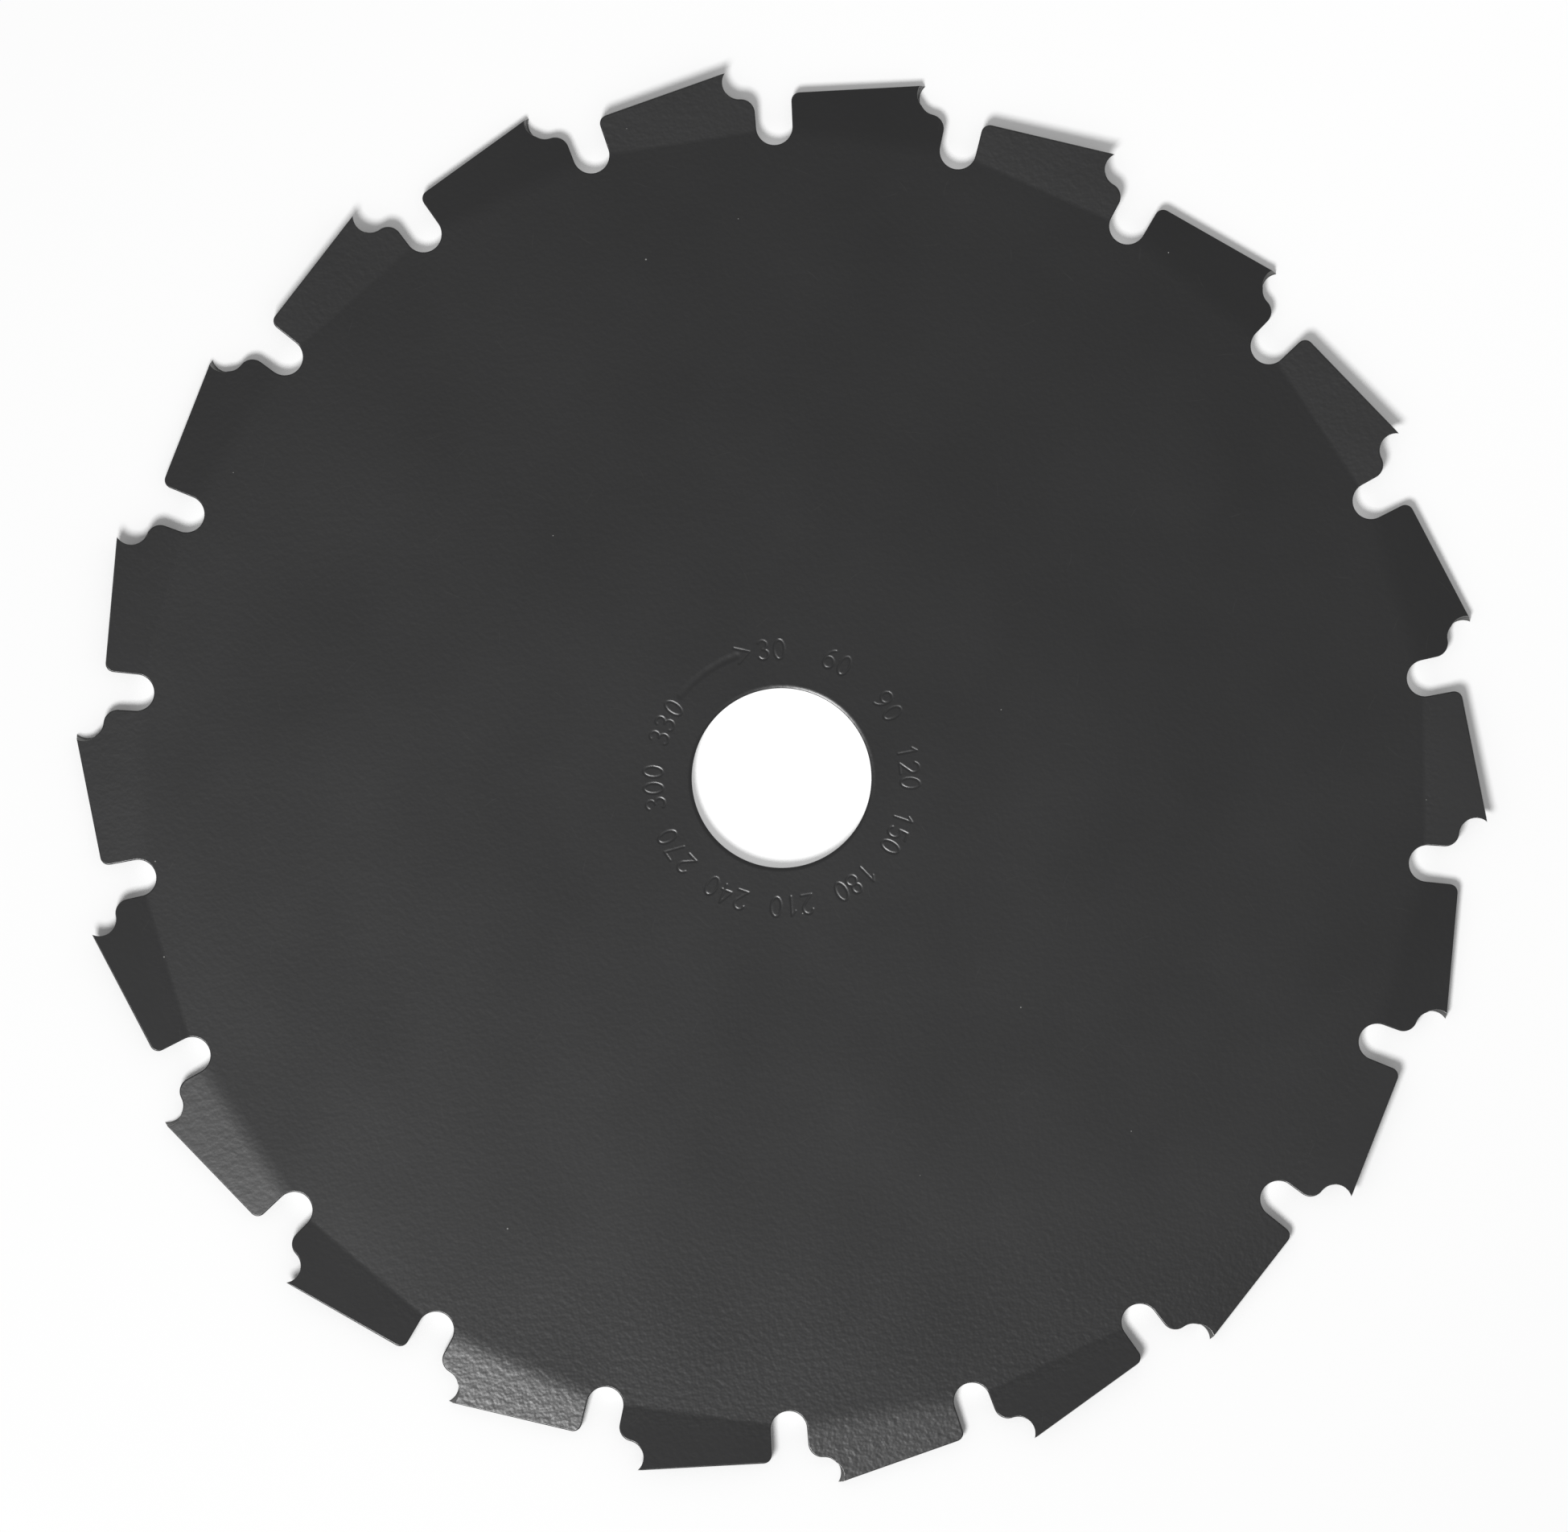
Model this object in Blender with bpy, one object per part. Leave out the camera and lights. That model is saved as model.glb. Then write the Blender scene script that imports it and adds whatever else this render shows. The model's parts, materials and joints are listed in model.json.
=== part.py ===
"""Brush cutter saw blade: a round steel plate with chisel teeth set to alternate sides.

The plate lies in the XY plane, its middle plane at z = 0, and the arbor bore runs along Z.
The first tooth points along +Y and is bent up. The teeth follow each other clockwise, seen
from +Z, and cut clockwise: the hook of each tooth faces that way.

Each tooth is drawn flat, as it is punched, in its own frame: +Y runs from the bore to the tip
and +X ahead of the tooth. One pitch of the plate reaches from the floor of the gullet behind
the tooth to the floor of the gullet ahead of it. It is bent along a straight chord between
those two gullets, then copied round the bore and welded to its neighbours.
"""

import math

import bmesh
import bpy
from mathutils import Matrix, Vector

# Driving dimensions of the plate, in metres
CUTTING_DIAMETER = 0.2000
PLATE_THICKNESS = 0.0015
BORE_DIAMETER = 0.0254
BORE_CHAMFER = 0.0002

# Driving dimensions of a tooth and of the gullet ahead of it, in metres
FILE_DIAMETER = 0.0048
SHOULDER_RADIUS = 0.0020
HEEL_RADIUS = 0.0012
GULLET_AHEAD_OF_TIP = 0.0038
GULLET_WIDTH = 0.00514
GULLET_STRAIGHT = 0.0023

# Driving dimensions of the set, in metres: how far a tip stands off, and where the bend runs
TOOTH_SET = 0.0007
BEND_RADIUS = 0.0200
BEND_ABOVE_FLOOR = 0.00225

# Driving angles, in degrees: how the straight back falls away behind the tip, how far the hook
# undercuts the tip, how far the gullet opens towards the heel of the next tooth, how far off
# square the file is held, and towards which side of the tip it leans
BACK_ANGLE = 14.85
HOOK_ANGLE = 37.3
GULLET_FLARE = 2.2
FILE_SLANT = 22.5
FILE_LEAN = 45.0

TOOTH_COUNT = 22

# Segments of each round stretch
BORE_STEPS = 4
GULLET_STEPS = 6
HEEL_STEPS = 4
FILED_STEPS = 8
HOOK_FOOT_STEPS = 3
SHOULDER_STEPS = 6
BEND_STEPS = 3

WELD_DISTANCE = 1e-6
SHARP_EDGE_ANGLE = math.radians(25)

PITCH = math.tau / TOOTH_COUNT
HALF_THICKNESS = PLATE_THICKNESS / 2
BORE_RADIUS = BORE_DIAMETER / 2
FILE_RADIUS = FILE_DIAMETER / 2
GULLET_RADIUS = GULLET_WIDTH / 2

# Place of the bare steel among the blade's materials, after the paint
FILED_SLOT = 1


def direction(angle):
    """Unit vector at an angle from +X."""
    return Vector((math.cos(angle), math.sin(angle)))


def turned(point, angle):
    """A flat point turned anticlockwise about the bore."""
    return Matrix.Rotation(angle, 2) @ point


def arc(centre, first, last, steps):
    """Points from first to last, the short way round the centre, both ends included."""
    radius = (first - centre).length
    start = math.atan2(*(first - centre).yx)
    end = math.atan2(*(last - centre).yx)
    sweep = (end - start + math.pi) % math.tau - math.pi
    return [centre + direction(start + sweep * i / steps) * radius for i in range(steps + 1)]


def lines_meet(point_a, along_a, point_b, along_b):
    """Where two straight lines cross."""
    across = Vector((-along_b.y, along_b.x))
    distance = (point_b - point_a).dot(across) / along_a.dot(across)
    return point_a + along_a * distance


def fillet(corner, to_first, to_last, radius, steps):
    """Round corner between two straight edges that leave it in the given directions."""
    half_angle = to_first.angle(to_last) / 2
    tangent = radius / math.tan(half_angle)
    centre = corner + (to_first + to_last).normalized() * radius / math.sin(half_angle)
    return arc(centre, corner + to_first * tangent, corner + to_last * tangent, steps)


class FlatTooth:
    """Centres and directions of one tooth as it is punched, with its tip at (0, tip_radius)."""

    def __init__(self, tip_radius):
        hook = math.radians(HOOK_ANGLE)
        back = math.radians(BACK_ANGLE)
        self.tip = Vector((0, tip_radius))
        self.back = -direction(back)
        self.hook_centre = self.tip + direction(-hook) * FILE_RADIUS

        shoulder_x = GULLET_AHEAD_OF_TIP - SHOULDER_RADIUS
        centres_apart = FILE_RADIUS + SHOULDER_RADIUS
        drop = math.sqrt(centres_apart**2 - (shoulder_x - self.hook_centre.x) ** 2)
        self.shoulder_centre = Vector((shoulder_x, self.hook_centre.y - drop))

        gullet_x = GULLET_AHEAD_OF_TIP + GULLET_RADIUS
        self.gullet_centre = Vector((gullet_x, self.shoulder_centre.y - GULLET_STRAIGHT))
        self.gullet_floor = self.gullet_centre - self.gullet_centre.normalized() * GULLET_RADIUS

        # The bend is square to the line that halves the tooth between its two gullets
        self.middle = turned(self.gullet_centre, PITCH / 2).normalized()
        self.bend_distance = self.gullet_floor.length * math.cos(PITCH / 2) + BEND_ABOVE_FLOOR
        self.lever = self.tip.dot(self.middle) - self.bend_distance

    def outline(self, lean):
        """Edge of one face, floor to floor, and the index where the filed hook starts on it."""
        rear_floor = turned(self.gullet_floor, PITCH)
        rear_centre = turned(self.gullet_centre, PITCH)
        flare = math.radians(GULLET_FLARE)
        wall_side = turned(direction(-flare), PITCH)
        wall_up = turned(direction(math.pi / 2 - flare), PITCH)
        wall_foot = rear_centre + wall_side * GULLET_RADIUS
        heel_corner = lines_meet(wall_foot, wall_up, self.tip, self.back)

        points = arc(rear_centre, rear_floor, wall_foot, GULLET_STEPS)
        points += fillet(heel_corner, -wall_up, -self.back, HEEL_RADIUS, HEEL_STEPS)
        filed_start = len(points)

        # On the face where the file leans over, its circle cuts back into the tooth. Both
        # faces share the point where the leaning circle leaves the upright one.
        full_lean = file_lean()
        across = Vector((-full_lean.y, full_lean.x)).normalized()
        half_lean = full_lean.length / 2
        shared = self.hook_centre + full_lean / 2
        shared += across * math.sqrt(FILE_RADIUS**2 - half_lean**2)
        file_centre = self.hook_centre + lean
        to_tip = self.tip - file_centre
        along = to_tip.dot(self.back)
        reach = math.sqrt(along**2 + FILE_RADIUS**2 - to_tip.length_squared) - along
        points += arc(file_centre, self.tip + self.back * reach, shared, FILED_STEPS)

        between = (self.shoulder_centre - self.hook_centre).normalized()
        shoulder_top = self.hook_centre + between * FILE_RADIUS
        front_wall = self.shoulder_centre + Vector((SHOULDER_RADIUS, 0))
        front_foot = self.gullet_centre - Vector((GULLET_RADIUS, 0))
        points += arc(self.hook_centre, shared, shoulder_top, HOOK_FOOT_STEPS)[1:]
        points += arc(self.shoulder_centre, shoulder_top, front_wall, SHOULDER_STEPS)[1:]
        points += arc(self.gullet_centre, front_foot, self.gullet_floor, GULLET_STEPS)
        return points, filed_start


def file_lean():
    """How far the slanted file moves, and which way, from one face of the plate to the other."""
    length = PLATE_THICKNESS * math.tan(math.radians(FILE_SLANT))
    return direction(math.radians(90 + FILE_LEAN)) * length


def set_angle(tooth):
    """Bend that carries the tip of the middle plane TOOTH_SET to one side."""
    return math.asin(TOOTH_SET / tooth.lever)


def punched_tooth():
    """The flat tooth that reaches the cutting diameter with its sharp corner once it is bent."""
    cutting_radius = CUTTING_DIAMETER / 2
    tooth = FlatTooth(cutting_radius)
    bend = set_angle(tooth)
    drawn_in = tooth.lever * (1 - math.cos(bend)) + HALF_THICKNESS * math.sin(bend)
    return FlatTooth(cutting_radius + drawn_in * tooth.middle.y)


def add_plate_pitch(bm, tooth, side):
    """One pitch of the flat plate, open along its two radial cuts. The tooth is sharp on side."""
    sharp, filed_start = tooth.outline(Vector((0, 0)))
    filed, _ = tooth.outline(file_lean())
    start = math.atan2(*turned(tooth.gullet_floor, PITCH).yx)
    bore_angles = [start - PITCH * i / BORE_STEPS for i in range(BORE_STEPS + 1)]

    rings = {}
    for face in (1, -1):
        edge = sharp if face == side else filed
        z = face * HALF_THICKNESS
        rim = [direction(angle) * (BORE_RADIUS + BORE_CHAMFER) for angle in bore_angles]
        wall = [direction(angle) * BORE_RADIUS for angle in bore_angles]
        rings[face, "edge"] = [bm.verts.new((*point, z)) for point in edge]
        rings[face, "rim"] = [bm.verts.new((*point, z)) for point in rim]
        rings[face, "wall"] = [bm.verts.new((*point, z - face * BORE_CHAMFER)) for point in wall]
        bm.faces.new(rings[face, "edge"] + rings[face, "rim"][::-1])
        bridge(bm, rings[face, "rim"], rings[face, "wall"])

    bridge(bm, rings[1, "wall"], rings[-1, "wall"])
    side_faces = bridge(bm, rings[1, "edge"], rings[-1, "edge"])
    for face in side_faces[filed_start : filed_start + FILED_STEPS]:
        face.material_index = FILED_SLOT


def bridge(bm, first, second):
    """Four-sided faces between two rows of vertices that run side by side."""
    corners = zip(first, first[1:], second[1:], second)
    return [bm.faces.new(face) for face in corners]


def cut_bend_rows(bm, tooth, bend):
    """Rows of edges across the tooth, for the bend to follow."""
    width = BEND_RADIUS * bend
    for i in range(BEND_STEPS + 1):
        distance = tooth.bend_distance + width * (i / BEND_STEPS - 0.5)
        geometry = bm.verts[:] + bm.edges[:] + bm.faces[:]
        on_row = (*(tooth.middle * distance), 0)
        outward = (*tooth.middle, 0)
        bmesh.ops.bisect_plane(bm, geom=geometry, plane_co=on_row, plane_no=outward)


def bend_tooth(bm, tooth, bend, side):
    """Rolls the tooth round a cylinder of BEND_RADIUS towards side, +1 up or -1 down."""
    width = BEND_RADIUS * bend
    for vert in bm.verts:
        flat = vert.co.xy.dot(tooth.middle) - (tooth.bend_distance - width / 2)
        if flat <= 0:
            continue
        angle = min(flat / BEND_RADIUS, bend)
        straight = max(flat - width, 0)
        reach = BEND_RADIUS * math.sin(angle) + straight * math.cos(angle)
        rise = BEND_RADIUS * (1 - math.cos(angle)) + straight * math.sin(angle)
        inward = side * vert.co.z * math.sin(angle)
        vert.co.xy += tooth.middle * (reach - inward - flat)
        vert.co.z = side * rise + vert.co.z * math.cos(angle)


def pitch_mesh(tooth, side):
    """One pitch of the blade with its tooth set up (side +1) or down (side -1)."""
    bend = set_angle(tooth)
    bm = bmesh.new()
    add_plate_pitch(bm, tooth, side)
    cut_bend_rows(bm, tooth, bend)
    bend_tooth(bm, tooth, bend, side)
    mesh = bpy.data.meshes.new("pitch")
    bm.to_mesh(mesh)
    bm.free()
    return mesh


def painted_steel():
    """Dark grey, slightly glossy powder coat."""
    return plain_material("blade paint", (0.036, 0.036, 0.037), 0.45, 0.0)


def filed_steel():
    """Bare steel where the file has cut through the paint."""
    return plain_material("filed steel", (0.42, 0.42, 0.43), 0.35, 1.0)


def plain_material(name, colour, roughness, metallic):
    """A material that is one Principled surface."""
    material = bpy.data.materials.new(name)
    material.use_nodes = True
    surface = material.node_tree.nodes["Principled BSDF"]
    surface.inputs["Base Color"].default_value = (*colour, 1)
    surface.inputs["Roughness"].default_value = roughness
    surface.inputs["Metallic"].default_value = metallic
    return material


def build_blade():
    """Copies the two kinds of pitch round the bore in turn, and welds them into one plate."""
    tooth = punched_tooth()
    pitches = {side: pitch_mesh(tooth, side) for side in (1, -1)}
    bm = bmesh.new()
    for number in range(TOOTH_COUNT):
        before = len(bm.verts)
        side = 1 if number % 2 == 0 else -1
        bm.from_mesh(pitches[side])
        bm.verts.ensure_lookup_table()
        turn = Matrix.Rotation(-PITCH * number, 3, "Z")
        bmesh.ops.rotate(bm, verts=bm.verts[before:], cent=(0, 0, 0), matrix=turn)
    bmesh.ops.remove_doubles(bm, verts=bm.verts[:], dist=WELD_DISTANCE)
    bmesh.ops.recalc_face_normals(bm, faces=bm.faces[:])

    mesh = bpy.data.meshes.new("blade")
    bm.to_mesh(mesh)
    bm.free()
    mesh.materials.append(painted_steel())
    mesh.materials.append(filed_steel())
    mesh.shade_smooth()
    mesh.set_sharp_from_angle(angle=SHARP_EDGE_ANGLE)
    for pitch in pitches.values():
        bpy.data.meshes.remove(pitch)
    blade = bpy.data.objects.new("blade", mesh)
    bpy.context.scene.collection.objects.link(blade)
    return blade


def main():
    """Clears the scene's objects and builds the blade."""
    for leftover in list(bpy.data.objects):
        bpy.data.objects.remove(leftover, do_unlink=True)
    build_blade()


main()
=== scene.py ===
"""Brush cutter blade, seen from straight above on a white table.

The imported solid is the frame. Here the teeth are drawn again in a finer form with rounded
edges, bent to alternate sides and copied round the bore, a ring of marks is stamped into the
plate, and the steel gets its paint. World units are metres, and the bore runs along Z.
"""

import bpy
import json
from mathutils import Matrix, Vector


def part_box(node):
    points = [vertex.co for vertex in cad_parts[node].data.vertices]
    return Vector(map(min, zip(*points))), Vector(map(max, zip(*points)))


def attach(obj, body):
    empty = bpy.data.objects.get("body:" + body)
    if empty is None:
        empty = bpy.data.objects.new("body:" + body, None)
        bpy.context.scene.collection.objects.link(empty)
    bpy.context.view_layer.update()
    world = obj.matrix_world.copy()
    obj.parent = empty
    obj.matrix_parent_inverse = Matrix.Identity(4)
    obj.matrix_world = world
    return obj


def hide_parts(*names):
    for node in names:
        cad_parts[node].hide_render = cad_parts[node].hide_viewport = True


bl_info = {
    "name": "Brush Cutter Blade",
    "version": (1, 0, 0),
    "blender": (4, 5, 0),
    "location": "View3D > Sidebar > Blade",
    "description": "Makes a painted clearing saw blade and the table on which it lies",
    "category": "Add Mesh",
}

import json
import math
import random

import bmesh
import bpy
from bpy.props import FloatProperty, FloatVectorProperty, IntProperty, PointerProperty
from bpy.types import Operator, Panel, PropertyGroup
from mathutils import Matrix, Vector

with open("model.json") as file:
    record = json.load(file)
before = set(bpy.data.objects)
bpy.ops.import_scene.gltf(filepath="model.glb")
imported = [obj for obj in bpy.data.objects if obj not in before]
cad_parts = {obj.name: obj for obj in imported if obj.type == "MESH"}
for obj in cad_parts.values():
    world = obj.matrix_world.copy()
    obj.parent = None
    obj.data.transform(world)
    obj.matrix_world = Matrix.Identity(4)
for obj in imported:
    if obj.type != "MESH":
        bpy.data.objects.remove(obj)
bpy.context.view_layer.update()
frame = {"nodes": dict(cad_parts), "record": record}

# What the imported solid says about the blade
BODY = "root"
NODE = "blade"
SOLID_RADII = [vert.co.xy.length for vert in frame["nodes"][NODE].data.vertices]
FACE_HEIGHTS = {mount["name"]: mount["pos_m"][2] for mount in frame["record"]["mounts"]}
TABLE_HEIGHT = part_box(NODE)[0].z

MM = 0.001

TOOTH_COUNT = 22
PITCH = math.tau / TOOTH_COUNT

# Segments of each round stretch of one tooth's outline
GULLET_STEPS = 14
HEEL_STEPS = 8
FILED_STEPS = 20
HOOK_FOOT_STEPS = 6
SHOULDER_STEPS = 12

# Extra points on the straight back, behind the tip, and the stretch of columns over which the
# rounding of the filed edge grows into that of the painted edge
BACK_POINTS = (1.4 * MM, 0.4 * MM)
FADE_COLUMNS = 3

# Rows down the edge of the plate: the turn of its rounding, the rows of its wall with the shallow
# waves that a hand file leaves on the hook, and a narrow strip that keeps the flat faces' shading
# even. The strip also goes round the bore.
ROUND_TURNS = (0, 30, 60, 90)
FILE_WAVES = (0.013 * MM, -0.010 * MM, 0.012 * MM, -0.013 * MM)
GUARD_WIDTH = 0.03 * MM

# Rows of edges across the tooth, for the bend, as distances from its middle
HALF_BEND_ROWS = (0.1, 0.2, 0.3, 0.34, 0.65, 1.0, 1.4)
BEND_ROWS = [side * row * MM for side in (-1, 1) for row in HALF_BEND_ROWS]

# The plate is cut on this circle into the ring of teeth and the disc inside it. Then the circle's
# steps for each pitch, the steps of the bore's rolled edge, and the turns of its rounding.
JOIN_RADIUS = 84 * MM
JOIN_STEPS = 8
BORE_ROLL_STEPS = 6
BORE_TURNS = (30, 45, 60, 75, 90)

# Grid of the stamped ring: columns for each pitch, and rows
MARK_STEPS = 60
MARK_ROWS = 40

# Steps of the arrow's shaft, and how unevenly the digits are stamped: their turn about the bore,
# their lean, their radius, and the distance over which the depth of the strokes wanders
SHAFT_STEPS = 24
MARK_SEED = 22
TURN_SPREAD = math.radians(0.25)
LEAN_SPREAD = math.radians(1.5)
RADIUS_SPREAD = 0.03 * MM
UNEVEN_SIZE = 2.5 * MM

# Where the coat grows coarse: from plate to tooth, by distance from the bore's axis, and
# towards the near and the far side of the blade, along Y
TOOTH_COAT = (89.0 * MM, 92.5 * MM)
NEAR_COAT = (-56 * MM, -86 * MM)
FAR_COAT = (10 * MM, 50 * MM)

# Where a face counts as level, by distance from the plate's middle plane. The coat runs thin on
# faces bent outwards, except on the far side.
LEVEL_COAT = (1.0 * MM, 0.78 * MM)

# How the table reflects, the most that it glows far from the lamp, and where its glow grows,
# from outside the gullets to within them. The glow within them is painted light, which lightens
# the blade's cast shadows in the gullets and the bore.
TABLE_ROUGHNESS = 0.9
MOST_GLOW = 0.6
GLOW_EDGE = (94 * MM, 86 * MM)

# What each shared effect is given, under the names of its inputs
DUST = {"Spacing": 15 * MM, "Speck size": 0.1 * MM, "Share": 0.12}
SCRATCHES = {
    "Spacing": 9 * MM,
    "Length": 3.5 * MM,
    "Width": 0.06 * MM,
    "Share": 0.35,
}
PAINT_WEAR = {"Patch size": 1.2 * MM, "Share": 0.42}
STEEL_WEAR = {"Patch size": 0.8 * MM, "Share": 0.7}
STEEL_GRAIN = {
    "Dimple size": 0.6 * MM,
    "Grain size": 0.12 * MM,
    "Grain share": 0.3,
}
PAINT_GRAIN_SHARE = 0.05

# Shapes of the marks: how wide a speck's even core is, from where to where a scratch tapers, as
# a share of its length, and how softly a worn patch ends
SPECK_CORE = 0.4
SCRATCH_TAPER = (0.5, 0.1)
WEAR_BLEND = 0.12

# How much of the dust's colour shows where the paint or the steel is marked
SPECK_SHOWN = 0.5
SCRATCH_SHOWN = 0.02
PAINT_WEAR_SHOWN = 0.03
STEEL_WEAR_SHOWN = 0.2

# How the paint's tone and roughness wander over the blade
CLOUD_SIZE = 25 * MM
CLOUD_TONES = (0.86, 1.14)
CLOUD_ROUGHNESS = 0.06

# File marks: about how many there are down the plate's edge, how far they shift from tooth to
# tooth, the noise values between which they turn from dark to bright, and those two tones. Then
# how far the roughness falls as they brighten, the height of the relief, and their part in it.
FILE_MARKS = 4.5
FILE_MARK_SHIFT = 7.31
FILE_MARK_BLEND = (0.35, 0.65)
FILE_MARK_TONES = (0.5, 1.5)
FILE_MARK_ROUGHNESS = -0.16
FILE_MARK_HEIGHT = 0.02 * MM
FILE_MARK_SHARE = 1.5

WELD_DISTANCE = 1e-6
SHARP_EDGE_ANGLE = math.radians(50)


def millimetres(name, description, default):
    """A length property, whose default is given in millimetres."""
    return FloatProperty(
        name=name,
        description=description,
        default=default * MM,
        unit="LENGTH",
        precision=5,
    )


def degrees(name, description, default):
    """An angle property, whose default is given in degrees."""
    return FloatProperty(
        name=name, description=description, default=math.radians(default), subtype="ANGLE"
    )


def amount(name, description, default):
    """A plain number that isn't negative."""
    return FloatProperty(name=name, description=description, default=default, min=0.0)


def colour(name, description, default):
    """A linear colour."""
    return FloatVectorProperty(
        name=name, description=description, default=default, subtype="COLOR", min=0.0, max=1.0
    )


class BladeSizes(PropertyGroup):
    """Sizes of the plate, its bore and its teeth."""

    cutting_radius: millimetres(
        "Cutting radius", "From the bore's centre to the points", max(SOLID_RADII) / MM
    )
    bore_radius: millimetres(
        "Bore radius", "Radius of the arbor bore", min(SOLID_RADII) / MM
    )
    thickness: millimetres(
        "Thickness",
        "Thickness of the plate",
        (FACE_HEIGHTS["clamp_face"] - FACE_HEIGHTS["drive_face"]) / MM,
    )
    edge_rounding: millimetres("Edge rounding", "Radius of the painted edges", 0.16)
    filed_rounding: millimetres("Filed rounding", "Radius of the edges of the filed hook", 0.035)
    roll_width: millimetres("Roll width", "How wide the rolled edge of the bore is", 0.52)
    roll_depth: millimetres("Roll depth", "How deep the rolled edge of the bore is", 0.088)
    bore_rounding: millimetres("Bore rounding", "How far the bore's edge is rounded", 0.08)
    back_angle: degrees("Back angle", "How far the back falls away behind the tip", 14.85)
    hook_angle: degrees("Hook angle", "How far the hook undercuts the tip", 37.3)
    gullet_flare: degrees("Gullet flare", "How far the gullet opens towards the next tooth", 2.2)
    gullet_width: millimetres("Gullet width", "Width of the gullet's round floor", 5.14)
    gullet_ahead: millimetres("Gullet ahead", "From the tip to the gullet's near wall", 3.8)
    gullet_straight: millimetres("Gullet straight", "Straight length of the near wall", 2.3)
    shoulder_radius: millimetres("Shoulder radius", "Round between hook and gullet", 2.0)
    heel_radius: millimetres("Heel radius", "Round between the back and the gullet", 1.2)
    file_radius: millimetres("File radius", "Radius of the round file", 2.4)
    file_slant: degrees("File slant", "How far off square the file is held", 22.5)
    file_lean: degrees("File lean", "Towards which side of the tip the file leans", 45)
    tooth_set: millimetres("Tooth set", "How far a tip is bent to its side", 0.7)
    bend_above_floor: millimetres("Bend above floor", "From the gullets' floors to the bend", 2.25)
    inner_bend_width: millimetres("Inner bend", "Width of the bend on its hollow face", 0.6)
    outer_bend_width: millimetres("Outer bend", "Width of the bend on its round face", 2.8)


class RingMarkSizes(PropertyGroup):
    """Sizes of the ring of stamped marks."""

    inner_radius: millimetres("Inner radius", "Inside of the ring's finer grid", 16.4)
    outer_radius: millimetres("Outer radius", "Outside of the ring's finer grid", 20.0)
    middle_radius: millimetres("Middle radius", "Half height of the digits", 18.2)
    digit_height: millimetres("Digit height", "Height of a digit", 2.7)
    digit_width: millimetres("Digit width", "Width of a digit", 1.45)
    digit_advance: millimetres("Digit advance", "From one digit to the next", 2.27)
    stroke_reach: millimetres("Stroke reach", "From a stroke's middle to its edge", 0.24)
    stroke_depth: millimetres("Stroke depth", "Depth of a stroke at its middle", 0.045)
    first_number: degrees("First number", "Where the ring's zero would stand", 119.9)
    number_step: IntProperty(
        name="Number step", description="Degrees from one number to the next", default=30
    )
    arrow_radius: millimetres("Arrow radius", "Radius of the arrow's shaft", 18.45)
    shaft_reach: millimetres("Shaft reach", "From the shaft's middle to its edge", 0.75)
    arrow_tail: degrees("Arrow tail", "Where the shaft starts", 136.2)
    arrow_tip: degrees("Arrow tip", "Where the arrow points end", 99.7)
    arrow_barb: degrees("Arrow barb", "How far the barbs run back", 6.0)
    arrow_half_width: millimetres("Arrow half width", "How far the barbs stand out", 1.15)


class BladeFinish(PropertyGroup):
    """Colours and surface of the paint and of the filed steel."""

    paint: colour("Paint", "Colour of the powder coat", (0.019, 0.019, 0.0195))
    paint_roughness: amount("Paint roughness", "Roughness of the powder coat", 0.279)
    paint_specular: amount("Paint gloss", "Strength of the coat's reflection", 0.60)
    hammer_size: millimetres("Hammer size", "Size of the coat's shallow dimples", 0.8)
    hammer_height: millimetres("Hammer height", "Height of the coat's shallow dimples", 0.037)
    plate_share: amount("Plate share", "Height of the dimples on the plate to the teeth's", 0.8)
    middle_share: amount("Middle share", "Height of the dimples between near and far side", 0.42)
    far_coat: amount("Far coat", "How coarse the far side is, to the near side", 0.2)
    raised_share: amount("Raised share", "Height of the dimples on faces bent outwards", 0.45)
    grain_size: millimetres("Grain size", "Size of the coat's fine grain", 0.22)
    dust: colour("Dust", "Colour of dust and rubbed paint", (0.55, 0.55, 0.53))
    steel: colour("Steel", "Colour of the filed steel", (0.12, 0.12, 0.123))
    steel_rim_share: amount("Steel rim share", "Reflection of the steel seen edge on", 0.3)
    steel_roughness: amount("Steel roughness", "Roughness of the filed steel", 0.34)


class StageSettings(PropertyGroup):
    """The table, the light and the camera."""

    table: colour("Table", "Colour of the white table", (0.87, 0.87, 0.87))
    table_reach: millimetres("Table reach", "Half the width of the table", 15000)
    table_glow: amount("Table glow", "How much whiter the table looks than it is lit", 0.118)
    # Painted light: the extra glow within the teeth lightens the blade's cast shadows in the gullets
    # and the bore
    middle_glow: amount("Middle glow", "How much more the table glows within the teeth", 0.26)
    falloff: amount("Falloff", "Share that the glow grows for each metre from the lamp", 0.85)
    lamp_azimuth: degrees("Lamp azimuth", "Direction of the lamp round the blade", -122.7)
    lamp_tilt: degrees("Lamp tilt", "How far off the vertical the lamp stands", 31.7)
    lamp_distance: millimetres("Lamp distance", "From the blade's centre to the lamp", 1125)
    lamp_width: millimetres("Lamp width", "Diameter of the round lamp", 420)
    lamp_power: amount("Lamp power", "Power of the lamp, in watts", 11.5)
    sky: amount("Sky", "Strength of the even light from all round", 0.25)
    camera_height: millimetres("Camera height", "From the plate's middle to the camera", 2000)
    camera_right: millimetres("Camera right", "Camera's place along X", 0.4786)
    camera_up: millimetres("Camera up", "Camera's place along Y", 1.6706)
    camera_roll: degrees("Camera roll", "Turn of the picture about the line of sight", -4.608)
    lens: FloatProperty(name="Lens", description="Focal length in millimetres", default=324.4)


# Node trees

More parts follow.
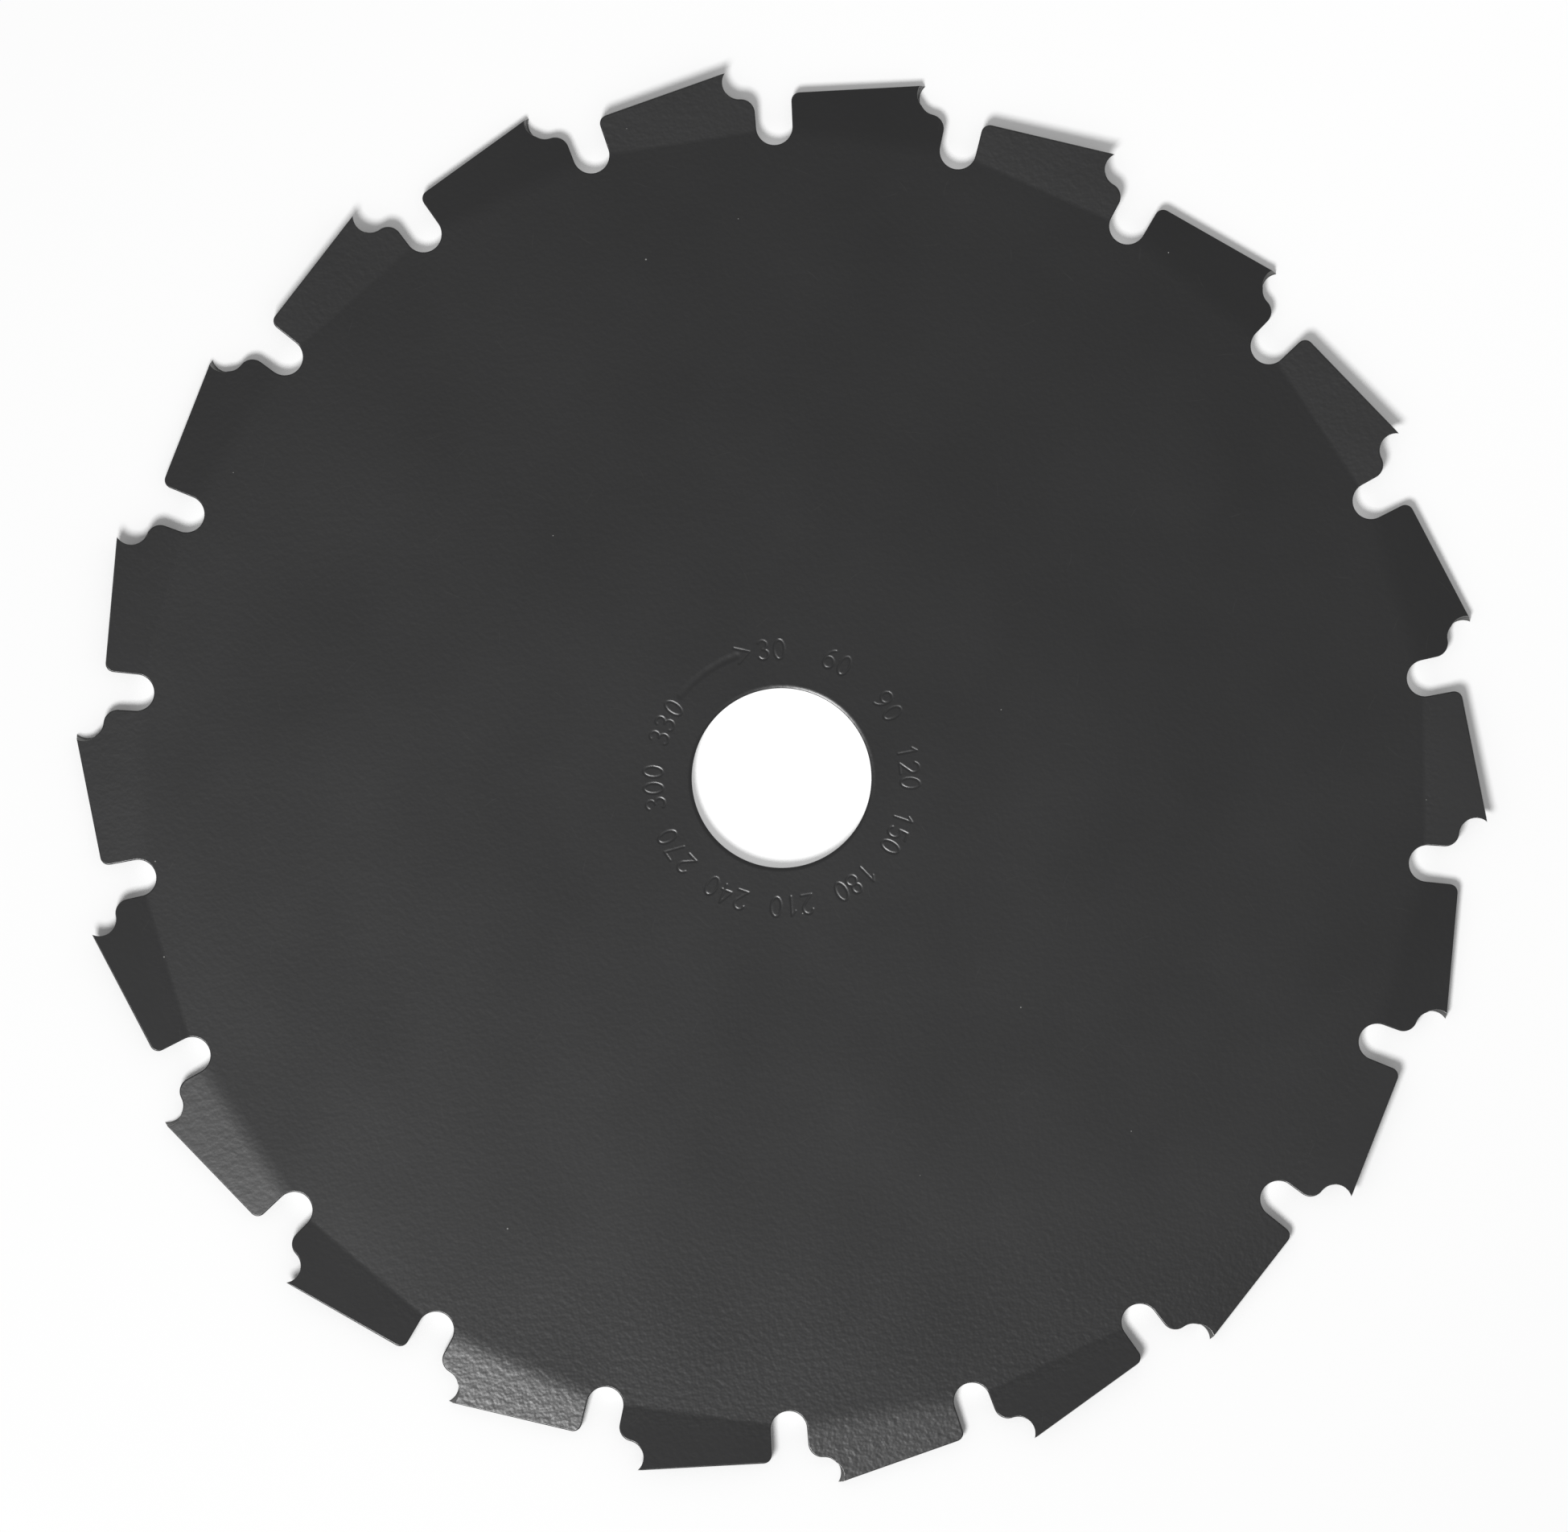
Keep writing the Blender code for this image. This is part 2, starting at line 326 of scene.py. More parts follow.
class Output:
    """What a node gives. Sums are written with it as with a plain number."""

    def __init__(self, source):
        self.source = source
        self.tree = source.id_data

    def __add__(self, other):
        return calc("ADD", self, other)

    def __sub__(self, other):
        return calc("SUBTRACT", self, other)

    def __rsub__(self, other):
        return calc("SUBTRACT", other, self)

    def __mul__(self, other):
        return calc("MULTIPLY", self, other)

    def __truediv__(self, other):
        return calc("DIVIDE", self, other)

    def __rtruediv__(self, other):
        return calc("DIVIDE", other, self)

    __radd__ = __add__
    __rmul__ = __mul__


def socket(sockets, name=None):
    """The socket with an index, or the first one in use, with its name where that is given."""
    if isinstance(name, int):
        return sockets[name]
    return next(each for each in sockets if each.enabled and name in (None, each.name))


def set_inputs(node, inputs):
    """Sets each input to a plain value, or joins it to another node's output."""
    for name, value in inputs.items():
        target = socket(node.inputs, name)
        if isinstance(value, Output):
            value.tree.links.new(value.source, target)
        else:
            target.default_value = value


def add_node(tree, kind, inputs=None, **settings):
    """Adds a node with its settings and inputs."""
    node = tree.nodes.new(kind)
    for name, value in settings.items():
        setattr(node, name, value)
    set_inputs(node, inputs or {})
    return node


def output_of(node, name=None):
    """One of a node's outputs: the first one in use, unless its name is given."""
    return Output(socket(node.outputs, name))


def result(tree, kind, inputs=None, output=None, **settings):
    """Adds a node and gives one of its outputs."""
    return output_of(add_node(tree, kind, inputs, **settings), output)


def made_of(kind, *values, **settings):
    """Adds a node whose first inputs are given in order, and gives its output."""
    tree = next(value.tree for value in values if isinstance(value, Output))
    return result(tree, kind, dict(enumerate(values)), **settings)


def calc(operation, *values):
    """The result of one Math node."""
    return made_of("ShaderNodeMath", *values, operation=operation)


def vector_calc(operation, *vectors):
    """The result of one Vector Math node."""
    return made_of("ShaderNodeVectorMath", *vectors, operation=operation)


def combined(*numbers):
    """A vector made of three numbers."""
    return made_of("ShaderNodeCombineXYZ", *numbers)


def parts_of(vector, kind="ShaderNodeSeparateXYZ"):
    """The three numbers of a vector, or of a colour with the kind of node for that."""
    return [Output(each) for each in add_node(vector.tree, kind, {0: vector}).outputs]


def smooth_step(value, low, high):
    """0 below low, 1 above high, and a soft rise between. Low may be the higher of the two."""
    return made_of("ShaderNodeMapRange", value, low, high, interpolation_type="SMOOTHSTEP")


def mix_colours(share, first, second):
    """A colour between two, by share."""
    inputs = {"Factor": share, "A": first, "B": second}
    return result(share.tree, "ShaderNodeMix", inputs, data_type="RGBA")


def noise(place, size, detail=1.0, roughness=0.5):
    """Smooth noise with features of about a size, and its value round one half."""
    inputs = {"Vector": place, "Scale": 1 / size, "Detail": detail, "Roughness": roughness}
    return result(place.tree, "ShaderNodeTexNoise", inputs)


SOCKET_TYPES = {
    float: "NodeSocketFloat",
    int: "NodeSocketInt",
    tuple: "NodeSocketVector",
    bpy.types.Material: "NodeSocketMaterial",
    bpy.types.Mesh: "NodeSocketGeometry",
}


def new_group(name, kind, inputs, outputs):
    """An empty node group with named sockets, each given as name: type of its values."""
    tree = bpy.data.node_groups.new(name, kind)
    for in_out, sockets in (("INPUT", inputs), ("OUTPUT", outputs)):
        for label, value_type in sockets.items():
            socket_type = SOCKET_TYPES[value_type]
            tree.interface.new_socket(label, in_out=in_out, socket_type=socket_type)
    given = {each.name: Output(each) for each in tree.nodes.new("NodeGroupInput").outputs}
    return tree, given, tree.nodes.new("NodeGroupOutput")


# Plan of one tooth

def direction(angle):
    """Unit vector at an angle from +X."""
    return Vector((math.cos(angle), math.sin(angle)))


def turned(point, angle):
    """A flat point turned anticlockwise about the bore."""
    return Matrix.Rotation(angle, 2) @ point


def arc(centre, first, last, steps):
    """Points from first to last, the short way round the centre, both ends included."""
    radius = (first - centre).length
    start = math.atan2(*(first - centre).yx)
    end = math.atan2(*(last - centre).yx)
    sweep = (end - start + math.pi) % math.tau - math.pi
    return [centre + direction(start + sweep * i / steps) * radius for i in range(steps + 1)]


def lines_meet(point_a, along_a, point_b, along_b):
    """Where two straight lines cross."""
    across = Vector((-along_b.y, along_b.x))
    distance = (point_b - point_a).dot(across) / along_a.dot(across)
    return point_a + along_a * distance


def fillet(corner, to_first, to_last, radius, steps):
    """Round corner between two straight edges that leave it in the given directions."""
    half_angle = to_first.angle(to_last) / 2
    tangent = radius / math.tan(half_angle)
    centre = corner + (to_first + to_last).normalized() * radius / math.sin(half_angle)
    return arc(centre, corner + to_first * tangent, corner + to_last * tangent, steps)


class FlatTooth:
    """Centres and directions of one tooth as it is punched, with its tip at (0, tip_radius)."""

    def __init__(self, sizes, tip_radius):
        self.sizes = sizes
        self.gullet_radius = sizes.gullet_width / 2
        self.tip = Vector((0, tip_radius))
        self.back = -direction(sizes.back_angle)
        self.hook_centre = self.tip + direction(-sizes.hook_angle) * sizes.file_radius

        shoulder_x = sizes.gullet_ahead - sizes.shoulder_radius
        centres_apart = sizes.file_radius + sizes.shoulder_radius
        drop = math.sqrt(centres_apart**2 - (shoulder_x - self.hook_centre.x) ** 2)
        self.shoulder_centre = Vector((shoulder_x, self.hook_centre.y - drop))

        gullet_x = sizes.gullet_ahead + self.gullet_radius
        self.gullet_centre = Vector((gullet_x, self.shoulder_centre.y - sizes.gullet_straight))
        inward = self.gullet_centre.normalized()
        self.gullet_floor = self.gullet_centre - inward * self.gullet_radius

        # The bend is square to the line that halves the tooth between its two gullets
        self.middle = turned(self.gullet_centre, PITCH / 2).normalized()
        floor_distance = self.gullet_floor.length * math.cos(PITCH / 2)
        self.bend_distance = floor_distance + sizes.bend_above_floor
        self.lever = self.tip.dot(self.middle) - self.bend_distance
        self.bend = math.asin(sizes.tooth_set / self.lever)

    def start_angle(self):
        """Direction of the radial cut at which the pitch starts."""
        return math.atan2(*turned(self.gullet_floor, PITCH).yx)

    def outline(self, lean):
        """Edge of one face, floor to floor, and the index where the filed hook starts on it."""
        sizes = self.sizes
        rear_floor = turned(self.gullet_floor, PITCH)
        rear_centre = turned(self.gullet_centre, PITCH)
        wall_side = turned(direction(-sizes.gullet_flare), PITCH)
        wall_up = turned(direction(math.pi / 2 - sizes.gullet_flare), PITCH)
        wall_foot = rear_centre + wall_side * self.gullet_radius
        heel_corner = lines_meet(wall_foot, wall_up, self.tip, self.back)
        points = arc(rear_centre, rear_floor, wall_foot, GULLET_STEPS)
        points += fillet(heel_corner, -wall_up, -self.back, sizes.heel_radius, HEEL_STEPS)

        # On the face where the file leans over, its circle cuts back into the tooth. Both
        # faces share the point where the leaning circle leaves the upright one.
        full_lean = lean_of_file(sizes)
        across = Vector((-full_lean.y, full_lean.x)).normalized()
        shared = self.hook_centre + full_lean / 2
        shared += across * math.sqrt(sizes.file_radius**2 - (full_lean.length / 2) ** 2)
        file_centre = self.hook_centre + lean
        to_tip = self.tip - file_centre
        along = to_tip.dot(self.back)
        reach = math.sqrt(along**2 + sizes.file_radius**2 - to_tip.length_squared) - along
        points += [self.tip + self.back * (reach + behind) for behind in BACK_POINTS]
        filed_start = len(points)
        points += arc(file_centre, self.tip + self.back * reach, shared, FILED_STEPS)

        between = (self.shoulder_centre - self.hook_centre).normalized()
        shoulder_top = self.hook_centre + between * sizes.file_radius
        front_wall = self.shoulder_centre + Vector((sizes.shoulder_radius, 0))
        front_foot = self.gullet_centre - Vector((self.gullet_radius, 0))
        points += arc(self.hook_centre, shared, shoulder_top, HOOK_FOOT_STEPS)[1:]
        points += arc(self.shoulder_centre, shoulder_top, front_wall, SHOULDER_STEPS)[1:]
        points += arc(self.gullet_centre, front_foot, self.gullet_floor, GULLET_STEPS)
        return points, filed_start


def lean_of_file(sizes):
    """How far the slanted file moves, and which way, from one face of the plate to the other."""
    length = sizes.thickness * math.tan(sizes.file_slant)
    return direction(math.pi / 2 + sizes.file_lean) * length


def punched_tooth(sizes):
    """The flat tooth that reaches the cutting radius with its sharp corner once it is bent."""
    tooth = FlatTooth(sizes, sizes.cutting_radius)
    drawn_in = tooth.lever * (1 - math.cos(tooth.bend))
    drawn_in += sizes.thickness / 2 * math.sin(tooth.bend)
    return FlatTooth(sizes, sizes.cutting_radius + drawn_in * tooth.middle.y)


def inward_offsets(points):
    """For each point of an outline, the step that moves its edges inwards by one."""
    offsets = [-points[0].normalized()]
    for before, here, after in zip(points, points[1:], points[2:]):
        first = (here - before).normalized()
        second = (after - here).normalized()
        sides = Vector((first.y + second.y, -first.x - second.x)).normalized()
        offsets.append(sides / sides.dot(Vector((first.y, -first.x))))
    return offsets + [-points[-1].normalized()]


# Mesh of one flat pitch

def edge_rows(sizes, rounding, filed_share):
    """Inset and depth of each row down the plate's edge, from its upper to its lower face."""
    turns = [math.radians(turn) for turn in ROUND_TURNS]
    upper = [(rounding + GUARD_WIDTH, 0.0)]
    upper += [(rounding * (1 - math.sin(a)), rounding * (1 - math.cos(a))) for a in turns]
    lower = [(inset, sizes.thickness - depth) for inset, depth in reversed(upper)]
    wall = sizes.thickness - 2 * rounding
    step = wall / (len(FILE_WAVES) + 1)
    waves = [
        (wave * filed_share, rounding + step * (i + 1)) for i, wave in enumerate(FILE_WAVES)
    ]
    return upper + waves + lower


def flat_pitch(sizes, tooth):
    """One pitch of the flat plate from the join circle outwards, sharp on its upper face."""
    upper, filed_start = tooth.outline(Vector((0, 0)))
    lower, _ = tooth.outline(lean_of_file(sizes))
    upper_in = inward_offsets(upper)
    lower_in = inward_offsets(lower)
    filed_end = filed_start + FILED_STEPS

    bm = bmesh.new()
    across = bm.verts.layers.float.new("across")
    edge_layer = bm.verts.layers.float.new("edge")
    filed = bm.faces.layers.int.new("filed")
    columns = []
    for i in range(len(upper)):
        fade = min(max(filed_start - i, i - filed_end, 0) / FADE_COLUMNS, 1)
        rounding = sizes.filed_rounding + fade * (sizes.edge_rounding - sizes.filed_rounding)
        column = []
        for inset, depth in edge_rows(sizes, rounding, 1 - fade):
            share = depth / sizes.thickness
            point = upper[i].lerp(lower[i], share)
            point += upper_in[i].lerp(lower_in[i], share) * inset
            vert = bm.verts.new((*point, sizes.thickness / 2 - depth))
            vert[across] = share
            vert[edge_layer] = float(inset <= rounding)
            column.append(vert)
        columns.append(column)

    for i, (first, second) in enumerate(zip(columns, columns[1:])):
        corners = zip(first, second, second[1:], first[1:])
        faces = [bm.faces.new(face) for face in corners]
        for face in faces[1:-1]:
            face[filed] = int(filed_start <= i < filed_end)

    start = tooth.start_angle()
    for row, height in ((0, sizes.thickness / 2), (-1, -sizes.thickness / 2)):
        join = circle_part(JOIN_RADIUS, start, PITCH, JOIN_STEPS)
        join_verts = [bm.verts.new((*point, height)) for point in join]
        for vert in join_verts:
            vert[across] = 0.5 - height / sizes.thickness
        bm.faces.new([column[row] for column in columns] + join_verts[::-1])

    for row in BEND_ROWS:
        geometry = bm.verts[:] + bm.edges[:] + bm.faces[:]
        place = (*(tooth.middle * (tooth.bend_distance + row)), 0)
        square = (*tooth.middle, 0)
        bmesh.ops.bisect_plane(bm, geom=geometry, plane_co=place, plane_no=square)
    return mesh_of("flat pitch", bm)


def circle_part(radius, start, sweep, steps):
    """Points on a circle round the bore, clockwise from start, both ends included."""
    return [direction(start - sweep * i / steps) * radius for i in range(steps + 1)]


def new_object(name, data):
    """A new object in the scene."""
    made = bpy.data.objects.new(name, data)
    bpy.context.scene.collection.objects.link(made)
    return made


def mesh_of(name, bm):
    """Writes a bmesh to a new mesh and frees it."""
    mesh = bpy.data.meshes.new(name)
    bm.to_mesh(mesh)
    bm.free()
    return mesh


# The ring of teeth, as a node tree

def tooth_ring(tree, given):
    """Bends one flat pitch up and its mirror image down, and copies the pair round the bore."""
    up = bent_up(tree, given)
    mirrored = result(tree, "GeometryNodeTransform", {"Geometry": up, "Scale": (1, 1, -1)})
    down = result(tree, "GeometryNodeFlipFaces", {"Mesh": mirrored})

    places = result(tree, "GeometryNodePoints", {"Count": given["Teeth"] / 2})
    index = result(tree, "GeometryNodeInputIndex")
    clockwise = math.tau / given["Teeth"] * -1
    both = add_node(tree, "GeometryNodeJoinGeometry")
    for first, tooth in enumerate((up, down)):
        number = index * 2 + first
        turn = combined(0, 0, number * clockwise)
        inputs = {"Points": places, "Instance": tooth, "Rotation": turn}
        copies = result(tree, "GeometryNodeInstanceOnPoints", inputs)
        inputs = {"Geometry": copies, "Name": "tooth", "Value": number}
        numbered = result(
            tree, "GeometryNodeStoreNamedAttribute", inputs, data_type="FLOAT", domain="INSTANCE"
        )
        set_inputs(both, {0: numbered})

    painted = finished(output_of(both), given["Paint"])
    steel = {"Selection": carried_flag(tree, "filed"), "Material": given["Filed steel"]}
    return result(tree, "GeometryNodeSetMaterial", {"Geometry": painted, **steel})


def bent_up(tree, given):
    """The flat pitch rolled up along the bend, which is narrower on its hollow, upper face."""
    position = result(tree, "GeometryNodeInputPosition")
    height = parts_of(position)[2]
    along = vector_calc("DOT_PRODUCT", position, given["Middle"])
    share = height / given["Thickness"] + 0.5
    width = share * (given["Inner width"] - given["Outer width"]) + given["Outer width"]
    flat = calc("MAXIMUM", along - (given["Bend distance"] - width * 0.5), 0)
    radius = width / given["Bend angle"]
    angle = calc("MINIMUM", flat / radius, given["Bend angle"])
    straight = calc("MAXIMUM", flat - width, 0)
    sine = calc("SINE", angle)
    cosine = calc("COSINE", angle)

    # Along the tooth: the roll and the straight rest, less what the bend takes up. Upwards: the
    # roll lifts the tooth and turns its thickness.
    shift = straight * cosine + (radius - height) * sine - flat
    rise = straight * sine + (radius - height) * (1 - cosine)
    x, y, _ = parts_of(given["Middle"])
    inputs = {"Geometry": given["Drawn"], "Offset": combined(x * shift, y * shift, rise)}
    return result(tree, "GeometryNodeSetPosition", inputs)


def carried_flag(tree, name):
    """A yes or no that the mesh carries under a name."""
    return result(tree, "GeometryNodeInputNamedAttribute", {"Name": name}, data_type="BOOLEAN")


def finished(geometry, material):
    """The last steps of a tree: real copies, closed seams and a material."""
    tree = geometry.tree
    real = result(tree, "GeometryNodeRealizeInstances", {"Geometry": geometry})
    inputs = {"Geometry": real, "Distance": WELD_DISTANCE}
    closed = result(tree, "GeometryNodeMergeByDistance", inputs)
    return result(tree, "GeometryNodeSetMaterial", {"Geometry": closed, "Material": material})


# The stamped ring, as strokes and a node tree

def line(*corners):
    """A stroke of straight lines through corners in a digit's box, 1 wide and 1 high."""
    return [Vector(corner) for corner in corners]


def bow(centre, radii, first, last, steps=14):
    """A stroke along an ellipse, between two angles in degrees."""
    points = []
    for i in range(steps + 1):
        on_circle = direction(math.radians(first + (last - first) * i / steps))
        points.append(Vector(centre) + Vector((on_circle.x * radii[0], on_circle.y * radii[1])))
    return points


DIGIT_STROKES = {
    "0": [bow((0.5, 0.5), (0.5, 0.5), 0, 360, 24)],
    "1": [line((0.2, 0.76), (0.56, 1), (0.56, 0))],
    "2": [bow((0.5, 0.72), (0.48, 0.28), 165, -42), line((0.86, 0.53), (0, 0), (1, 0))],
    "3": [bow((0.46, 0.76), (0.44, 0.24), 150, -90), bow((0.46, 0.26), (0.5, 0.26), 90, -150)],
    "4": [line((0.74, 0), (0.74, 1), (0, 0.3), (1, 0.3))],
    "5": [line((0.9, 1), (0.16, 1), (0.1, 0.56)), bow((0.47, 0.32), (0.5, 0.32), 135, -145)],
    "6": [bow((0.5, 0.3), (0.5, 0.3), 0, 360, 20), bow((0.94, 0.3), (0.94, 0.7), 180, 100)],
    "7": [line((0, 1), (1, 1), (0.36, 0))],
    "8": [bow((0.5, 0.75), (0.42, 0.25), 0, 360, 18), bow((0.5, 0.26), (0.5, 0.26), 0, 360, 20)],
    "9": [bow((0.5, 0.7), (0.5, 0.3), 0, 360, 20), bow((0.06, 0.7), (0.94, 0.7), 0, -80)],
}


def number_strokes(marks, text, angle, chance):
    """Strokes of a number whose middle stands at an angle, with its top outwards."""
    strokes = []
    for place, digit in enumerate(text):
        forward = (place - (len(text) - 1) / 2) * marks.digit_advance / marks.middle_radius
        out = direction(angle - forward + chance.gauss(0, TURN_SPREAD))
        lean = chance.gauss(0, LEAN_SPREAD)
        radius = marks.middle_radius + chance.gauss(0, RADIUS_SPREAD)
        clockwise = Vector((out.y, -out.x))
        for stroke in DIGIT_STROKES[digit]:
            points = []
            for point in stroke:
                right = (point.x - 0.5) * marks.digit_width
                up = (point.y - 0.5) * marks.digit_height
                leaning = turned(Vector((right, up)), lean)
                points.append(out * (radius + leaning.y) + clockwise * leaning.x)
            strokes.append(points)
    return strokes


def arrow_strokes(marks):
    """A plain curved arrow that shows which way the blade turns: its shaft, and its barbs."""
    tip = direction(marks.arrow_tip) * marks.arrow_radius
    barb_foot = marks.arrow_tip + marks.arrow_barb
    sweep = marks.arrow_tail - barb_foot
    shaft = circle_part(marks.arrow_radius, marks.arrow_tail, sweep, SHAFT_STEPS)
    feet = [marks.arrow_radius + side * marks.arrow_half_width for side in (1, -1)]
    return shaft, [[tip, direction(barb_foot) * foot] for foot in feet]


def mark_wires(marks):
    """All strokes of the ring as loose edges on the plate's upper face."""
    chance = random.Random(MARK_SEED)
    shaft, strokes = arrow_strokes(marks)
    for number in range(marks.number_step, 360, marks.number_step):
        angle = marks.first_number - math.radians(number)
        strokes += number_strokes(marks, str(number), angle, chance)
    bm = bmesh.new()
    broad = bm.verts.layers.int.new("broad")
    for stroke in [shaft] + strokes:
        verts = [bm.verts.new((*point, 0)) for point in stroke]
        for vert in verts:
            vert[broad] = int(stroke is shaft)
        for pair in zip(verts, verts[1:]):
            bm.edges.new(pair)
    return mesh_of("mark wires", bm)


def stamped_ring(tree, given):
    """A fine flat ring that is pressed down along the strokes of the marks."""
    counts = {"Vertices X": given["Columns"] + 1, "Vertices Y": given["Rows"] + 1}
    grid = result(tree, "GeometryNodeMeshGrid", {"Size X": 1, "Size Y": 1, **counts})

    # The grid's X runs clockwise round the bore and its Y runs outwards
    position = result(tree, "GeometryNodeInputPosition")
    x, y, _ = parts_of(position)
    angle = (x + 0.5) * -math.tau + given["Start angle"]
    width = given["Outer radius"] - given["Inner radius"]
    radius = (y + 0.5) * width + given["Inner radius"]
    place = combined(radius * calc("COSINE", angle), radius * calc("SINE", angle), 0)
    ring = result(tree, "GeometryNodeSetPosition", {"Geometry": grid, "Position": place})

    # A stroke is deepest at its middle and meets the plate at its reach
    inputs = {"Geometry": given["Drawn"], "Selection": carried_flag(tree, "broad")}
    kinds = add_node(tree, "GeometryNodeSeparateGeometry", inputs).outputs
    pressed = 0.0
    for strokes, reach in zip(kinds, (given["Shaft reach"], given["Stroke reach"])):
        inputs = {0: Output(strokes)}
        away = result(tree, "GeometryNodeProximity", inputs, "Distance", target_element="EDGES")
        phase = calc("MINIMUM", away / reach, 1) * math.pi
        pressed = calc("MINIMUM", pressed, (calc("COSINE", phase) + 1) * -0.5)
    deeper = given["Stroke depth"] * (noise(position, UNEVEN_SIZE) + 0.5)
    lift = combined(0, 0, pressed * deeper + given["Height"])
    stamped = result(tree, "GeometryNodeSetPosition", {"Geometry": ring, "Offset": lift})
    return finished(stamped, given["Paint"])


def grown(name, mesh, build, values):
    """Builds a node tree with an input for each value, and returns what it grows from a mesh."""
    inputs = {"Drawn": bpy.types.Mesh, **{label: type(value) for label, value in values.items()}}
    outputs = {"Grown": bpy.types.Mesh}
    tree, given, output = new_group(name, "GeometryNodeTree", inputs, outputs)
    set_inputs(output, {0: build(tree, given)})

    carrier = new_object(name, mesh)
    modifier = carrier.modifiers.new(name, "NODES")
    modifier.node_group = tree
    for item in tree.interface.items_tree:
        if item.name in values:
            modifier[item.identifier] = values[item.name]
    depsgraph = bpy.context.evaluated_depsgraph_get()
    made = bpy.data.meshes.new_from_object(carrier.evaluated_get(depsgraph))
    carrier.modifiers.remove(modifier)
    bpy.data.objects.remove(carrier)
    bpy.data.meshes.remove(mesh)
    if not made.polygons:
        raise RuntimeError(f"the node tree {tree.name} made no faces")
    while made.materials[0] is None:
        made.materials.pop(index=0)
    return made


# The disc inside the ring of teeth

def bore_profile(sizes):
    """Radius and height of each ring of the bore's edge, from the upper face to the wall."""
    half = sizes.thickness / 2
    roll_end = sizes.bore_radius + sizes.bore_rounding
    rings = [(roll_end + sizes.roll_width + GUARD_WIDTH, half)]
    for i in range(BORE_ROLL_STEPS + 1):
        share = i / BORE_ROLL_STEPS
        rings.append((roll_end + sizes.roll_width * (1 - share), half - sizes.roll_depth * share**2))

    # The rounding goes on from the slope at which the roll ends
    slope = math.atan(2 * sizes.roll_depth / sizes.roll_width)
    radius = sizes.bore_rounding / (1 - math.sin(slope))
    for turn in BORE_TURNS:
        inward = radius * (math.sin(math.radians(turn)) - math.sin(slope))
        drop = radius * (math.cos(slope) - math.cos(math.radians(turn)))
        rings.append((roll_end - inward, half - sizes.roll_depth - drop))
    return rings


def disc(sizes, marks, start):
    """The plate between the ring of teeth and the bore, without the stamped ring."""
    bm = bmesh.new()

    def ring(radius, height, steps):
        points = circle_part(radius, start, math.tau, steps * TOOTH_COUNT)[:-1]
        return [bm.verts.new((*point, height)) for point in points]

    def flat_faces(outer, inner):
        for number in range(TOOTH_COUNT):
            bm.faces.new(sector(outer, number) + sector(inner, number)[::-1])

    half = sizes.thickness / 2
    edge = bore_profile(sizes)
    profile = edge + [(radius, -height) for radius, height in reversed(edge)]
    rings = [ring(radius, height, JOIN_STEPS) for radius, height in profile]
    for first, second in zip(rings, rings[1:]):
        corners = zip(first, first[1:] + first[:1], second[1:] + second[:1], second)
        for face in corners:
            bm.faces.new(face)

    flat_faces(ring(JOIN_RADIUS, half, JOIN_STEPS), ring(marks.outer_radius, half, MARK_STEPS))
    flat_faces(ring(marks.inner_radius, half, MARK_STEPS), rings[0])
    flat_faces(ring(JOIN_RADIUS, -half, JOIN_STEPS), rings[-1])
    return mesh_of("disc", bm)


def sector(ring, number):
    """The vertices of a closed ring that bound one pitch of it, both ends included."""
    steps = len(ring) // TOOTH_COUNT
    return [ring[(number * steps + i) % len(ring)] for i in range(steps + 1)]


def welded(name, parts):
    """Joins meshes that meet edge to edge into one closed body that faces outwards."""
    bm = bmesh.new()
    for part in parts:
        bm.from_mesh(part)
    bmesh.ops.remove_doubles(bm, verts=bm.verts[:], dist=WELD_DISTANCE)
    bmesh.ops.recalc_face_normals(bm, faces=bm.faces[:])
    loose = [edge for edge in bm.edges if len(edge.link_faces) != 2]
    if loose:
        raise RuntimeError(f"{len(loose)} edges of {name} aren't closed")
    mesh = mesh_of(name, bm)
    for material in parts[0].materials:
        mesh.materials.append(material)
    mesh.shade_smooth()
    mesh.set_sharp_from_angle(angle=SHARP_EDGE_ANGLE)
    for part in parts:
        bpy.data.meshes.remove(part)
    return mesh


# Effects that the paint and the steel share

def object_place(tree):
    """The own coordinates of the object that has the material."""
    return result(tree, "ShaderNodeTexCoord", output="Object")


def attribute(tree, name):
    """A number that the mesh carries under a name."""
    return result(tree, "ShaderNodeAttribute", output="Fac", attribute_name=name)


def shader_group(name, inputs, output):
    """An empty shader group whose sockets are plain numbers."""
    return new_group(name, "ShaderNodeTree", dict.fromkeys(inputs, float), {output: float})


def scattered(place, spacing):
    """A point in each square of the given spacing, as a node, and three random numbers with it."""
    inputs = {"Vector": place, "Scale": 1 / spacing}
    points = add_node(place.tree, "ShaderNodeTexVoronoi", inputs, voronoi_dimensions="2D")
    return points, parts_of(output_of(points, "Color"), "ShaderNodeSeparateColor")


def dimpled_group():
    """Shallow dimples of a hammered coat or a worked face, with a fine grain on them."""
    inputs = ("Dimple size", "Grain size", "Grain share")
    tree, given, output = shader_group("Dimples and grain", inputs, "Height")
    place = object_place(tree)
    dimples = noise(place, given["Dimple size"], roughness=0.55)
    grain = noise(place, given["Grain size"], detail=2.0)
    set_inputs(output, {0: grain * given["Grain share"] + dimples})
    return tree


def dust_group():
    """Small specks of dust, scattered with one to a square of the given spacing at most."""
    inputs = ("Spacing", "Speck size", "Share")
    tree, given, output = shader_group("Dust specks", inputs, "Speck")
    points, chance = scattered(object_place(tree), given["Spacing"])
    radius = given["Speck size"] * (chance[1] + 0.5)
    away = output_of(points, "Distance") * given["Spacing"]
    inside = smooth_step(away, radius, radius * SPECK_CORE)
    set_inputs(output, {0: inside * calc("LESS_THAN", chance[0], given["Share"])})
    return tree


